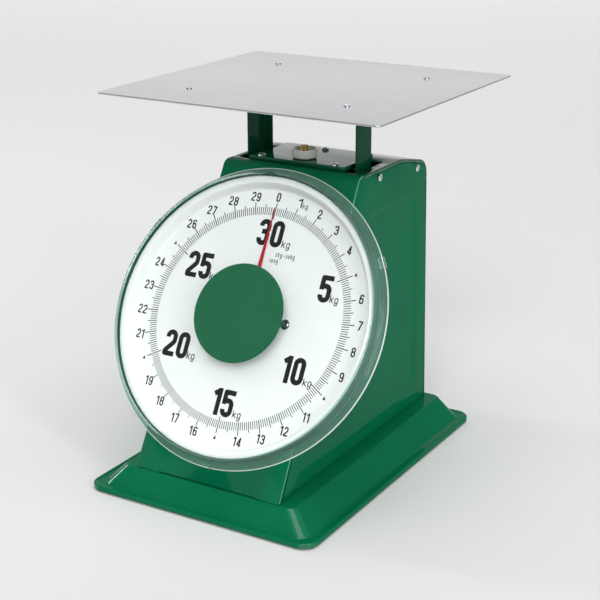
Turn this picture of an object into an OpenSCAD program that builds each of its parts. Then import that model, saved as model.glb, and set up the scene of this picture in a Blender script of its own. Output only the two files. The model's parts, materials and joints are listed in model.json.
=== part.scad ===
// Mechanical dial platform scale: a steel base and case, a sliding platform hung
// on two main springs, and a rack and pinion that turns the pointer of a round dial.
// Frame: +Z up, dial towards -Y, origin on the floor under the middle of the whole scale.

/* [Platform] */
// Width of the weighing plate
plate_w = 365; // [340:1:390]
// Depth of the weighing plate
plate_d = 340; // [320:1:350]
// Height of the plate's top face above the floor
plate_top = 453; // [445:1:470]
// Thickness of the plate
plate_t = 2; // [1.5:0.5:3]
// Half the distance between the plate's screws, left to right
screw_x = 103.5; // [95:0.5:115]
// Half the distance between the plate's screws, front to back
screw_y = 97.5; // [90:0.5:105]

/* [Base] */
// Width of the base pan
base_w = 303; // [295:1:315]
// Depth of the base pan
base_d = 417; // [410:1:420]
// Height of the base pan's flat top above the floor
base_top = 32; // [30:0.5:34]
// Height of the pan's lower edge above the floor
rim_gap = 2; // [1:0.5:3]

/* [Case] */
// Width of the case where it stands on the base
case_w_low = 196; // [192:1:204]
// Width of the case at its top
case_w_top = 184; // [182:1:188]
// Height of the case's flat top above the floor
case_top_z = 361; // [358:0.5:362]
// Angle of the sloping front, from upright
tilt = 29.85; // [28:0.05:30]
// Thickness of the case's sheet steel
sheet = 1.2; // [1:0.1:1.4]

/* [Dial] */
// Radius of the white dial plate
dial_r = 165; // [155:1:166]
// Distance of the dial's centre up the sloping front
dial_up = 197.2; // [192:0.2:198]
// Radius of the green disc at the middle of the crystal
disc_r = 57.8; // [50:0.2:60]
// Outer radius of the crystal's flange
flange_r = 177; // [174:1:177]

/* [Mechanism] */
// Number of pinion teeth
teeth = 14; // [14:1:16]
// Size of the teeth, as pitch diameter over number of teeth
tooth_size = 0.6; // [0.6:0.01:0.62]
// Length of the parallel levers between their pivots
lever_l = 90; // [88:1:92]
// Rise of the zero rod for one turn of the knob
zero_pitch = 1.5; // [1:0.25:2]

/* [Hidden] */
$fn = 64;
eps = 0.01;
mid_y = 43.5;                      // middle of the weighing plate and the dashpot
hang_y = 32;                       // middle of the springs, the zero rod and the knob
base_y = -5;                       // middle of the base pan
front_y = -189;                    // foot of the sloping front, at the base's top
back_y = 172.5;                    // outer face of the case's back
case_h = case_top_z - base_top;
case_taper = (case_w_low - case_w_top) / 2 / case_h;
plate_low = plate_top - plate_t;

// Travel: one turn of the pinion takes the rack this far down the slope, and the
// platform goes straight down by the vertical part of that.
pitch_r = teeth * tooth_size / 2;
rack_travel = 2 * PI * pitch_r;
platform_travel = rack_travel * cos(tilt);

web_x = 74.6;                      // outer face of each upright
web_d = 37.7;                      // depth of each upright
web_t = 2;
web_y = 23.4;                      // front edge of each upright
flange_w = 12.8;
upright_low = 136;

lever_x = 47.5;                    // inner face of each lever arm
lever_t = 3;
pivot_y = 158;
pivot_r = 4;
pin_r = 3;
upper_z = 290;
lower_z = 150;
lever_rise = platform_travel / 2;
lever_rest = asin(lever_rise / lever_l);
pin_y = pivot_y - lever_l * cos(lever_rest);

bar_z = 141;                       // underside of the spring crossbar
bar_h = 16;
bar_d = 14;
spring_x = 30;
spring_r = 11.2;                   // radius to the middle of the wire
wire_r = 1.8;
spring_low = 168;
spring_high = 316;
spring_turns = 15;
hanger_z = 326;
hanger_h = 8;

rod_r = 5;
knob_r = 15.3;
knob_h = 10.6;
bridge_top = case_top_z + 5.7;
knob_low = bridge_top + 0.85;
fit = 0.05;                        // radial clearance of a running fit

rack_n = -34;                      // depth of the rack and pinion behind the front
rack_pin_s = -45;
shaft_r = 2;

green = [0.06, 0.42, 0.25];
dark_green = [0.05, 0.33, 0.20];
steel = [0.72, 0.73, 0.74];
dark_steel = [0.45, 0.46, 0.48];

// ---- helpers ----------------------------------------------------------------

// A rounded rectangle, its middle at the origin.
module round_rect(w, d, r) {
    square([w - 2 * r, d], center = true);
    square([w, d - 2 * r], center = true);
    for (sx = [-1, 1], sy = [-1, 1])
        translate([sx * (w / 2 - r), sy * (d / 2 - r)]) circle(r);
}

// Puts a flat drawing of (y, z) upright and gives it a width along X.
module along_x(x_low, x_high) {
    translate([x_low, 0, 0]) rotate([90, 0, 90]) linear_extrude(x_high - x_low) children();
}

// Puts children in the dial's frame: X right, Y up the slope, Z out of the dial.
module on_dial(out = 0) {
    translate([0, front_y, base_top]) rotate([90 - tilt, 0, 0])
        translate([0, dial_up, out]) children();
}

// A flat ring between two heights.
module ring(r_in, r_out, low, high) {
    translate([0, 0, low]) difference() {
        cylinder(r = r_out, h = high - low, $fn = 128);
        translate([0, 0, -1]) cylinder(r = r_in, h = high - low + 2, $fn = 128);
    }
}

// A screw's round head with a crossed recess, standing on Z = 0.
module screw_head(r, h) {
    difference() {
        cylinder(r = r, h = h, $fn = 32);
        for (turn = [0, 90])
            rotate(turn) translate([-r * 0.6, -r * 0.11, h * 0.5]) cube([r * 1.2, r * 0.22, h]);
    }
}

// Corners of the case's side outline, (y, z), going round with the inside on the left,
// and the rounding radius of each.
case_corners = [
    [back_y, base_top],
    [back_y, case_top_z - 14.3],
    [105, case_top_z],
    [front_y + case_h * tan(tilt), case_top_z],
    [front_y, base_top]
];
case_radii = [0, 20, 60, 12, 0];

function unit(v) = v / norm(v);
function at(list, i) = list[(i + len(list)) % len(list)];
function cross2(a, b) = a[0] * b[1] - a[1] * b[0];
// Each corner moved inwards until both of its edges have moved by the inset.
function inset_corner(list, i, inset) =
    let (d1 = unit(list[i] - at(list, i - 1)), d2 = unit(at(list, i + 1) - list[i]))
    list[i] + (d2 - d1) * inset / cross2(d1, d2);
function inset_corners(list, inset) =
    [for (i = [0 : len(list) - 1]) inset_corner(list, i, inset)];
// The points of one rounded corner, from its first tangent point to its second.
function corner_arc(list, i, r) =
    let (
        d1 = unit(list[i] - at(list, i - 1)),
        d2 = unit(at(list, i + 1) - list[i]),
        turn = asin(cross2(d1, d2)),
        start = list[i] - d1 * r * tan(turn / 2),
        centre = start + [-d1[1], d1[0]] * r,
        steps = 8
    )
    [for (k = [0 : steps])
        let (a = turn * k / steps)
        centre + r * [d1[1] * cos(a) + d1[0] * sin(a), -d1[0] * cos(a) + d1[1] * sin(a)]];
function case_outline(inset) =
    let (list = inset_corners(case_corners, inset))
    [for (i = [0 : len(list) - 1])
        each case_radii[i] > inset ? corner_arc(list, i, case_radii[i] - inset) : [list[i]]];

// The solid between the case's two tapered sides, each moved in by the inset.
module case_block(inset) {
    low = case_w_low / 2 - inset + case_taper * 20;
    high = case_w_top / 2 - inset - case_taper * 20;
    rotate([90, 0, 0]) linear_extrude(500, center = true) polygon([
        [-low, base_top - 20], [low, base_top - 20],
        [high, case_top_z + 20], [-high, case_top_z + 20]
    ]);
}

// The band of the case's side outline between two insets, inside a region of (y, z).
module outline_band(inset_out, inset_in, y0, z0, y1, z1) {
    intersection() {
        difference() {
            polygon(case_outline(inset_out));
            translate([0, -eps]) polygon(case_outline(inset_in));
            translate([front_y + 7, base_top - 1]) square([back_y - front_y - 11, 5]);
        }
        translate([y0, z0]) square([y1 - y0, z1 - z0]);
    }
}

// One sheet of the case: its skin, and the narrow edges folded round onto both sides.
module case_sheet(y0, z0, y1, z1) {
    fold = 4;
    intersection() {
        case_block(0);
        along_x(-110, 110) outline_band(0, sheet, y0, z0, y1, z1);
    }
    intersection() {
        difference() {
            case_block(0);
            case_block(sheet);
        }
        along_x(-110, 110) outline_band(sheet - eps, fold, y0, z0, y1, z1);
    }
}

// ---- base and chassis -------------------------------------------------------

module pan_solid(inset) {
    skirt_low = 6 + rim_gap;
    translate([0, base_y, 0]) {
        translate([0, 0, rim_gap - (inset > 0 ? 1 : 0)])
            linear_extrude(6 + (inset > 0 ? 1 : 0) - inset)
                round_rect(base_w - 2 * inset, base_d - 2 * inset, 18 - inset);
        hull() {
            translate([0, 0, skirt_low - 2 * inset]) linear_extrude(eps)
                round_rect(base_w - 24 - 2 * inset, base_d - 20 - 2 * inset, 20);
            translate([0, 2.5, base_top - inset - eps]) linear_extrude(eps)
                round_rect(base_w - 72 - 2 * inset, base_d - 44 - 2 * inset, 12);
        }
    }
}

module base_pan() {
    color(green) difference() {
        pan_solid(0);
        pan_solid(1.5);
    }
}

foot_r = 4.2;
module rubber_feet() {
    color([0.08, 0.08, 0.08])
        for (sx = [-1, 1], sy = [-1, 1])
            translate([sx * (base_w / 2 - 8), base_y + sy * (base_d / 2 - 14), 0])
                cylinder(r = foot_r, h = rim_gap + 4.5);
}

module chassis_base() {
    color(dark_steel) translate([-85, -60, base_top]) cube([170, 228, 2]);
}

module chassis_bolts() {
    color(steel)
        for (x = [-75, 75], y = [-45, 148])
            translate([x, y, base_top + 2]) cylinder(r = 5.5, h = 4, $fn = 6);
}

side_x = 40;                       // inner face of each chassis side
chassis_z = case_top_z - sheet - 3.05; // underside of the chassis's top plate
module chassis_sides() {
    color(dark_steel)
        for (sx = [-1, 1]) difference() {
            along_x(sx * (side_x + 1.5) - 1.5, sx * (side_x + 1.5) + 1.5) polygon([
                [92, base_top + 2], [168, base_top + 2], [168, chassis_z - 22],
                [104, chassis_z], [92, chassis_z]
            ]);
            for (z = [lower_z, upper_z])
                translate([0, pivot_y, z]) rotate([0, 90, 0])
                    cylinder(r = pivot_r, h = 120, center = true);
        }
}

module chassis_top() {
    color(dark_steel) difference() {
        translate([-58, 14, chassis_z]) cube([116, 82, 3]);
        translate([0, hang_y, case_top_z - 10]) cylinder(r = rod_r + 0.8, h = 20);
    }
}

module lever_shafts() {
    color(steel)
        for (z = [lower_z, upper_z])
            translate([0, pivot_y, z]) rotate([0, 90, 0]) cylinder(r = pivot_r, h = 110, center = true);
}

module shaft_circlips() {
    color(dark_steel)
        for (z = [lower_z, upper_z], sx = [-1, 1])
            translate([sx * 52, pivot_y, z]) rotate([0, 90, 0])
                translate([0, 0, -0.5]) ring(pivot_r, 6.5, 0, 1);
}

dash_r = 18;
dash_top = 110;
module dashpot_cylinder() {
    color(steel) translate([0, mid_y, base_top + 2]) difference() {
        cylinder(r = dash_r, h = dash_top - base_top - 2);
        translate([0, 0, 2]) cylinder(r = dash_r - 1.5, h = 100);
    }
}

module dashpot_cap() {
    color(dark_steel) translate([0, mid_y, 0]) ring(3.2, dash_r + 1, dash_top, dash_top + 2);
}

// ---- dial movement ----------------------------------------------------------

plate_half = [32, 24];             // half size of the movement plates
front_plate_n = -26;
rear_plate_n = -46;
pillar_x = 26;
pillar_s = 18;

module movement_plate(n) {
    translate([0, 0, n]) difference() {
        translate([-plate_half[0], -plate_half[1], 0]) cube([2 * plate_half[0], 2 * plate_half[1], 2]);
        translate([0, 0, -1]) cylinder(r = 5, h = 4);
    }
}

module movement_plate_front() {
    color([0.75, 0.62, 0.3]) on_dial() movement_plate(front_plate_n);
}

module movement_plate_rear() {
    color([0.75, 0.62, 0.3]) on_dial() movement_plate(rear_plate_n);
}

// Each pillar is a spacer in two stretches, one in front of each movement plate.
module movement_pillars() {
    color([0.8, 0.68, 0.36]) on_dial()
        for (sx = [-1, 1], ss = [-1, 1]) translate([sx * pillar_x, ss * pillar_s, 0]) {
            translate([0, 0, front_plate_n + 2])
                cylinder(r = 3, h = -sheet - front_plate_n - 2);
            translate([0, 0, rear_plate_n + 2])
                cylinder(r = 3, h = front_plate_n - rear_plate_n - 2);
        }
}

module shaft_bushes() {
    color([0.8, 0.55, 0.3]) on_dial()
        for (n = [front_plate_n, rear_plate_n]) ring(shaft_r + fit, 5, n - 0.5, n + 2.5);
}

rack_back = pitch_r + 4.6;
module rack_guide() {
    color([0.92, 0.92, 0.88]) on_dial()
        translate([rack_back + 0.1, -12, rear_plate_n + 2])
            cube([5, 24, front_plate_n - rear_plate_n - 2]);
}

addendum = 0.45;
module rack() {
    pitch = PI * tooth_size;
    half = pitch / 4 - 0.05;
    lean = tan(20);
    color(steel) on_dial(rack_n - 3) linear_extrude(6) {
        translate([pitch_r + 0.6, -50]) square([rack_back - pitch_r - 0.6, 84]);
        for (k = [-2 : 16]) polygon([
            [pitch_r + 0.6 + eps, k * pitch - half - 0.6 * lean],
            [pitch_r - addendum, k * pitch - half + addendum * lean],
            [pitch_r - addendum, k * pitch + half - addendum * lean],
            [pitch_r + 0.6 + eps, k * pitch + half + 0.6 * lean]
        ]);
    }
}

// The pin that the drive arm's slot carries, standing out of the rack's side.
module rack_pin() {
    color(steel) on_dial() translate([rack_back, rack_pin_s, rack_n])
        rotate([0, 90, 0]) cylinder(r = 2.5, h = 10);
}

// One flank of a pinion tooth: the involute of the base circle, as (radius, angle).
function involute_angle(r, base_r) =
    let (a = acos(base_r / r)) tan(a) * 180 / PI - a;
module pinion_outline() {
    base_r = pitch_r * cos(20);
    tip_r = pitch_r + addendum;
    root_r = pitch_r - 0.65;
    half = 90 / teeth - 0.05 / pitch_r * 180 / PI;
    on_pitch = involute_angle(pitch_r, base_r);
    steps = 4;
    flank = [for (k = [0 : steps])
        let (r = base_r + 0.001 + (tip_r - base_r - 0.001) * k / steps)
        [r, half + on_pitch - involute_angle(r, base_r)]];
    tooth = concat(
        [[root_r, -flank[0][1]]],
        [for (k = [0 : steps]) [flank[k][0], -flank[k][1]]],
        [for (k = [steps : -1 : 0]) flank[k]],
        [[root_r, flank[0][1]]]
    );
    // A gap faces the rack's first tooth, which stands at the dial's centre height.
    polygon([for (t = [0 : teeth - 1], p = tooth)
        let (a = (t + 0.5) * 360 / teeth + p[1]) p[0] * [cos(a), sin(a)]]);
}

module pinion() {
    color([0.8, 0.68, 0.36]) on_dial(rack_n - 4) difference() {
        linear_extrude(8) pinion_outline();
        translate([0, 0, -1]) cylinder(r = shaft_r, h = 10);
    }
}

pointer_n = 9.6;                   // height of the pointer above the sloping front
module pointer_shaft() {
    color(steel) on_dial(rear_plate_n - 2) cylinder(r = shaft_r, h = pointer_n + 2 - rear_plate_n);
}

module pointer() {
    tip_r = 131;
    color([0.8, 0.1, 0.1]) on_dial(pointer_n - 0.5) difference() {
        union() {
            cylinder(r = 7, h = 1);
            linear_extrude(1) polygon([[-2.5, -45], [2.5, -45], [4.6, 0], [0.4, tip_r], [-0.4, tip_r], [-4.6, 0]]);
        }
        translate([0, 0, -1]) cylinder(r = shaft_r, h = 3);
    }
}

// ---- case -------------------------------------------------------------------

seam_y = 8;                        // where the front sheet ends on the case's top
seam_z = 322;                      // where the top sheet ends on the case's back
slot_y = [15, 79];
slot_x = [59, 80];

module case_front() {
    color(green) difference() {
        case_sheet(front_y - 5, base_top + 0.1, seam_y, case_top_z + 1);
        on_dial(-5) cylinder(r = 15, h = 10);
    }
}

module case_top() {
    tab = 22;
    color(green) difference() {
        union() {
            case_sheet(seam_y + 0.3, seam_z + 0.15, back_y + 1, case_top_z + 1);
            intersection() {
                difference() {
                    case_block(sheet + 0.05);
                    case_block(2 * sheet);
                }
                along_x(-110, 110)
                    outline_band(sheet - eps, tab, seam_y + 0.3, seam_z + 0.15, back_y + 1, case_top_z + 1);
            }
        }
        for (sx = [-1, 1])
            translate([sx * (slot_x[0] + slot_x[1]) / 2, (slot_y[0] + slot_y[1]) / 2, case_top_z])
                cube([slot_x[1] - slot_x[0], slot_y[1] - slot_y[0], 10], center = true);
        translate([0, hang_y, case_top_z - 5]) cylinder(r = 9, h = 10);
    }
}

module case_back() {
    color(green) case_sheet(back_y - 30, base_top + 0.1, back_y + 1, seam_z - 0.15);
}

module side_cover(sx) {
    color(green) intersection() {
        difference() {
            case_block(0);
            case_block(sheet);
        }
        along_x(sx > 0 ? 0 : -110, sx > 0 ? 110 : 0) intersection() {
            polygon(case_outline(4.4));
            translate([-200, base_top + 0.1]) square([400, 400]);
        }
    }
}
module side_cover_left() side_cover(-1);
module side_cover_right() side_cover(1);

module side_cover_screws() {
    color(steel)
        for (sx = [-1, 1], place = [[46.6, 351.5], [143.8, 342.3]])
            translate([sx * (case_w_low / 2 + 0.1 - case_taper * (place[1] - base_top)), place[0], place[1]])
                rotate([0, sx * 90, 0]) screw_head(4.6, 2.6);
}

bridge_x = 65;                     // half width in front of the uprights' flanges
bridge_back_x = 60;                // half width between the flanges
bridge_y = [11, 92];
bridge_step_y = 46;
// The bridge's outline, moved inwards by the inset.
module bridge_outline(inset) {
    translate([-bridge_x + inset, bridge_y[0] + inset])
        square([2 * (bridge_x - inset), bridge_step_y - bridge_y[0] - 2 * inset]);
    translate([-bridge_back_x + inset, bridge_y[0] + inset])
        square([2 * (bridge_back_x - inset), bridge_y[1] - bridge_y[0] - 2 * inset]);
}

module bridge_plate() {
    height = bridge_top - case_top_z;
    color(green) translate([0, 0, case_top_z]) difference() {
        linear_extrude(height) bridge_outline(0);
        translate([0, 0, -1]) linear_extrude(height - 0.5) bridge_outline(1.5);
        translate([0, hang_y, -1]) cylinder(r = 6, h = 20);
    }
}

module bridge_screws() {
    color(steel)
        for (place = [[-49.5, 15.7], [49.5, 15.7], [0, 80.5]])
            translate([place[0], place[1], bridge_top]) screw_head(4.6, 3);
}

module knob_washer() {
    color([0.85, 0.7, 0.4]) translate([0, hang_y, 0])
        ring(rod_r + 0.4, 10, bridge_top, bridge_top + 0.8);
}

// ---- dial -------------------------------------------------------------------

dial_n = 7.1;                      // height of the printed face above the sloping front
rim_n = 19.8;                      // height of the dial plate's raised rim
crystal_n = 30.5;                  // height of the crystal's front face
flange_n = [9.5, 12];
stud_r = 51;                       // distance of the dial's screws from its centre
pan_r = dial_r + 0.8;              // outside of the wall that stands round the dial plate

module dial_housing() {
    color(dark_green) on_dial() {
        ring(12, pan_r, 0, 1.2);
        ring(dial_r + 0.1, pan_r, 1.2, 23.2);
    }
}

module dial_standoffs() {
    color(steel) on_dial()
        for (a = [0, 120, 240]) rotate(a) translate([stud_r, 0, 0]) ring(1.6, 4, 1.2, dial_n - 1);
}

// A pressed dish: flat face, sloping wall and flat rim, turned from one outline.
module dial_plate() {
    flat_r = 150;
    step_r = 157;
    color([0.95, 0.95, 0.94]) on_dial() rotate_extrude($fn = 160) polygon([
        [6, dial_n - 1], [flat_r, dial_n - 1], [step_r, rim_n - 1], [dial_r, rim_n - 1],
        [dial_r, rim_n], [step_r - 0.6, rim_n], [flat_r - 0.6, dial_n], [6, dial_n]
    ]);
}

module dial_screws() {
    color(steel) on_dial(dial_n)
        for (a = [0, 120, 240]) rotate(a) translate([stud_r, 0, 0]) rotate(20) screw_head(3.4, 1.6);
}

module dial_crystal() {
    wall = 2;
    inner_r = dial_r + 1;
    wall_r = inner_r + wall;
    bevel = 5;
    color([0.8, 0.9, 0.88, 0.4]) on_dial() rotate_extrude($fn = 160) polygon([
        [0, crystal_n - wall], [inner_r - bevel, crystal_n - wall],
        [inner_r, crystal_n - wall - bevel], [inner_r, flange_n[0]], [flange_r, flange_n[0]],
        [flange_r, flange_n[1]], [wall_r, flange_n[1]], [wall_r, crystal_n - bevel],
        [wall_r - bevel, crystal_n], [0, crystal_n]
    ]);
}

module centre_disc() {
    color(green) on_dial(crystal_n - 2 - 0.8) cylinder(r = disc_r, h = 0.8, $fn = 128);
}

// Three C-shaped clips that hold the crystal's flange to the housing's wall.
module crystal_clips() {
    out_r = flange_r + 1.4;
    color([0.8, 0.9, 0.88]) on_dial()
        for (a = [30, 150, 270]) rotate(a) intersection() {
            rotate_extrude($fn = 160) polygon([
                [pan_r, flange_n[0] - 2], [out_r, flange_n[0] - 2], [out_r, flange_n[1] + 1.4],
                [flange_r - 5, flange_n[1] + 1.4], [flange_r - 5, flange_n[1]],
                [flange_r, flange_n[1]], [flange_r, flange_n[0]], [pan_r, flange_n[0]]
            ]);
            translate([150, -7, 0]) cube([50, 14, 30]);
        }
}

// ---- platform ---------------------------------------------------------------

module platform_plate() {
    color([0.82, 0.83, 0.84]) translate([0, mid_y, plate_low]) linear_extrude(plate_t)
        round_rect(plate_w, plate_d, 6);
}

module platform_screws() {
    color(steel)
        for (sx = [-1, 1], sy = [-1, 1])
            translate([sx * screw_x, mid_y + sy * screw_y, plate_top]) screw_head(4, 1.6);
}

arm_d = 24;
arm_h = 12;
module support_arms() {
    color(dark_green)
        for (sy = [-1, 1])
            translate([0, mid_y + sy * screw_y, plate_low - arm_h / 2])
                cube([2 * screw_x + 24, arm_d, arm_h], center = true);
}

rail_in = 60;
module support_rails() {
    length = 2 * screw_y - arm_d;
    width = web_x - web_t - rail_in;
    color(dark_green)
        for (sx = [-1, 1])
            translate([sx * (rail_in + width / 2), mid_y, plate_low - arm_h / 2])
                cube([width, length, arm_h], center = true);
}

module upright(sx) {
    web_back = web_y + web_d;
    color(green) mirror([sx < 0 ? 1 : 0, 0, 0]) {
        translate([web_x - web_t, web_y, upright_low]) cube([web_t, web_d, plate_low - upright_low]);
        translate([web_x - flange_w, web_back - web_t, upright_low])
            cube([flange_w, web_t, plate_low - arm_h - upright_low]);
    }
}
module upright_left() upright(-1);
module upright_right() upright(1);

frame_y = web_y + web_d;           // the frame plates lie on the uprights' rear flanges
frame_h = 30;
// A cross plate with a window for the front end of each lever arm.
module frame_plate(z) {
    color(dark_steel) difference() {
        translate([-72, frame_y, z - 4]) cube([144, 2, frame_h]);
        for (sx = [-1, 1])
            translate([sx * (lever_x + lever_t / 2) - lever_t / 2 - 0.8, frame_y - 1, z + lever_rise - 8.5])
                cube([lever_t + 1.6, 4, 17]);
    }
}
module frame_plate_upper() frame_plate(upper_z);
module frame_plate_lower() frame_plate(lower_z);

module lever_brackets() {
    color(dark_steel)
        for (z = [lower_z, upper_z], sx = [-1, 1]) difference() {
            translate([sx * 54 - 1.5, frame_y + 2, z + lever_rise - 8]) cube([3, pin_y + 7 - frame_y - 2, 16]);
            translate([0, pin_y, z + lever_rise]) rotate([0, 90, 0]) cylinder(r = pin_r, h = 130, center = true);
        }
}

module lever_pins() {
    color(steel)
        for (z = [lower_z, upper_z])
            translate([0, pin_y, z + lever_rise]) rotate([0, 90, 0]) cylinder(r = pin_r, h = 114, center = true);
}

// Both arms of a parallel lever. The front end has a short slot, so that its arc and
// the platform's straight travel both fit.
module lever_arms(z) {
    color([0.6, 0.6, 0.58]) translate([0, pivot_y, z]) rotate([-lever_rest, 0, 0])
        for (sx = [-1, 1]) translate([sx * (lever_x + lever_t / 2) - lever_t / 2, 0, 0])
            rotate([90, 0, 90]) linear_extrude(lever_t) difference() {
                hull() {
                    translate([-lever_l, 0]) circle(6.2);
                    circle(8);
                }
                circle(pivot_r + fit);
                for (y = [-1, 1.5]) translate([-lever_l + y, 0]) circle(pin_r + 0.35);
                translate([-lever_l - 1, -pin_r - 0.35]) square([2.5, 2 * pin_r + 0.7]);
            }
}
module lever_tie(z) {
    color(dark_steel) translate([0, pivot_y, z]) rotate([-lever_rest, 0, 0])
        translate([0, 78 - lever_l - 66, 0]) rotate([0, 90, 0]) cylinder(r = 4, h = 2 * lever_x, center = true);
}
module upper_lever_arms() lever_arms(upper_z);
module upper_lever_tie() lever_tie(upper_z);
module lower_lever_arms() lever_arms(lower_z);
module lower_lever_tie() lever_tie(lower_z);

module spring_crossbar() {
    half = web_x - web_t;
    color(dark_steel) translate([-half, hang_y - bar_d / 2, bar_z]) cube([2 * half, bar_d, bar_h]);
}

module spring_plugs_lower() {
    color(steel)
        for (sx = [-1, 1]) translate([sx * spring_x, hang_y, bar_z + bar_h]) {
            cylinder(r = 12, h = spring_low - wire_r - 0.3 - bar_z - bar_h);
            cylinder(r = 8.8, h = 24);
        }
}

module rack_drive_arm() {
    slot_z = base_top + (dial_up + rack_pin_s) * cos(tilt) + rack_n * sin(tilt);
    pin_rest = front_y + (dial_up + rack_pin_s) * sin(tilt) - rack_n * cos(tilt);
    pin_full = pin_rest - rack_travel * sin(tilt);
    slot_r = 2.9;
    color(dark_steel) along_x(14, 17) difference() {
        union() {
            translate([pin_full - 9, slot_z - 6]) square([hang_y - bar_d / 2 - pin_full + 9, 12]);
            translate([hang_y - bar_d / 2 - 30, slot_z - 6]) square([30, 12]);
        }
        for (y = [pin_full - 1.5, pin_rest + 1.5]) translate([y, slot_z]) circle(slot_r);
        translate([pin_full - 1.5, slot_z - slot_r]) square([pin_rest - pin_full + 3, 2 * slot_r]);
    }
}

module dashpot_piston() {
    disc_z = 72;
    color(steel) translate([0, mid_y, 0]) {
        translate([0, 0, disc_z]) cylinder(r = 2.5, h = bar_z - disc_z);
        translate([0, 0, disc_z]) cylinder(r = dash_r - 1.5 - 0.6, h = 3);
    }
}

// ---- zero adjustment and springs --------------------------------------------

module zero_knob() {
    dish_r = 12.8;
    color([0.9, 0.89, 0.84]) translate([0, hang_y, knob_low]) difference() {
        cylinder(r = knob_r, h = knob_h);
        translate([0, 0, knob_h - 3]) cylinder(r = dish_r, h = 10);
        translate([0, 0, -1]) cylinder(r = rod_r + fit, h = 30);
    }
}

module zero_rod() {
    color([0.85, 0.7, 0.35]) translate([0, hang_y, hanger_z + hanger_h])
        cylinder(r = rod_r, h = knob_low + knob_h + 4 - hanger_z - hanger_h);
}

module hanger_bar() {
    color(dark_steel) translate([-44, hang_y - 10, hanger_z]) cube([88, 20, hanger_h]);
}

module spring_plugs_upper() {
    color(steel)
        for (sx = [-1, 1]) translate([sx * spring_x, hang_y, 0]) {
            translate([0, 0, spring_high + wire_r + 0.3]) cylinder(r = 12, h = hanger_z - spring_high - wire_r - 0.3);
            translate([0, 0, hanger_z - 24]) cylinder(r = 8.8, h = 24);
        }
}

// A coil: a small ring of points carried round and up the helix, closed at both ends.
module coil(sides, per_turn) {
    count = spring_turns * per_turn;
    rise = (spring_high - spring_low) / count;
    points = [for (k = [0 : count], j = [0 : sides - 1])
        let (a = k * 360 / per_turn, b = j * 360 / sides, r = spring_r + wire_r * cos(b))
        [r * cos(a), r * sin(a), spring_low + k * rise + wire_r * sin(b)]];
    walls = [for (k = [0 : count - 1], j = [0 : sides - 1])
        let (n = (j + 1) % sides)
        [k * sides + j, (k + 1) * sides + j, (k + 1) * sides + n, k * sides + n]];
    start = [for (j = [0 : sides - 1]) j];
    end = [for (j = [sides - 1 : -1 : 0]) count * sides + j];
    polyhedron(points, concat(walls, [start, end]), convexity = 20);
}

module main_springs() {
    color([0.35, 0.36, 0.4])
        for (sx = [-1, 1]) translate([sx * spring_x, hang_y, 0]) coil(8, 20);
}

// ---- drawing ----------------------------------------------------------------

base_pan();
rubber_feet();
chassis_base();
chassis_bolts();
chassis_sides();
chassis_top();
lever_shafts();
shaft_circlips();
dashpot_cylinder();
dashpot_cap();
movement_plate_front();
movement_plate_rear();
movement_pillars();
shaft_bushes();
rack_guide();
case_front();
case_top();
case_back();
side_cover_left();
side_cover_right();
side_cover_screws();
bridge_plate();
bridge_screws();
knob_washer();
dial_housing();
dial_standoffs();
dial_plate();
dial_screws();
centre_disc();
dial_crystal();
crystal_clips();
platform_plate();
platform_screws();
support_arms();
support_rails();
upright_left();
upright_right();
frame_plate_upper();
frame_plate_lower();
lever_brackets();
lever_pins();
spring_crossbar();
spring_plugs_lower();
rack_drive_arm();
dashpot_piston();
pointer();
pointer_shaft();
pinion();
rack();
rack_pin();
upper_lever_arms();
upper_lever_tie();
lower_lever_arms();
lower_lever_tie();
zero_knob();
zero_rod();
hanger_bar();
spring_plugs_upper();
main_springs();
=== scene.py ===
import json
import bpy
import bmesh
import numpy as np
from mathutils import Matrix, Vector


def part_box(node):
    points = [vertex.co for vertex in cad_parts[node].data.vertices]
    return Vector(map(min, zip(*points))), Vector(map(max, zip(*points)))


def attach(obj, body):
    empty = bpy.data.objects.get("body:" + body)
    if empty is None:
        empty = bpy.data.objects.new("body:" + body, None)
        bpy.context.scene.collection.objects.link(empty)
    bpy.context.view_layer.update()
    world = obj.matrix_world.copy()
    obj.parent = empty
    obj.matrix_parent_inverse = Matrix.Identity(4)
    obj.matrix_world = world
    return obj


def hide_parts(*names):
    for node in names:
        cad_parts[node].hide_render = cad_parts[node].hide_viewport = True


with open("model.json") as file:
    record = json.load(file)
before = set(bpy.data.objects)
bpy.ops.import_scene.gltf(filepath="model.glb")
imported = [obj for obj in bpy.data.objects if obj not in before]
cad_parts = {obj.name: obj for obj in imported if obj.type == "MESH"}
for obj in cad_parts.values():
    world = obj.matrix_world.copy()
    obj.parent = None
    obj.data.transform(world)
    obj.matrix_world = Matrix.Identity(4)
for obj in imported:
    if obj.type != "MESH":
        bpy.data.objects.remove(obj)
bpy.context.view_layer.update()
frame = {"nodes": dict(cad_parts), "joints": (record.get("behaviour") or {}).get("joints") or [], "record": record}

# Mechanical dial platform scale. All shapes are worked out in millimetres, with +Z up
# and the dial towards -Y, and go into the meshes in metres.
mm = 0.001
nodes = frame["nodes"]


def nodeBox(name):
    # lowest and highest corner of a CAD node, in millimetres
    low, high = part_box(name)
    return np.array(low) / mm, np.array(high) / mm


# ---- flat outlines -----------------------------------------------------------

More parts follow.
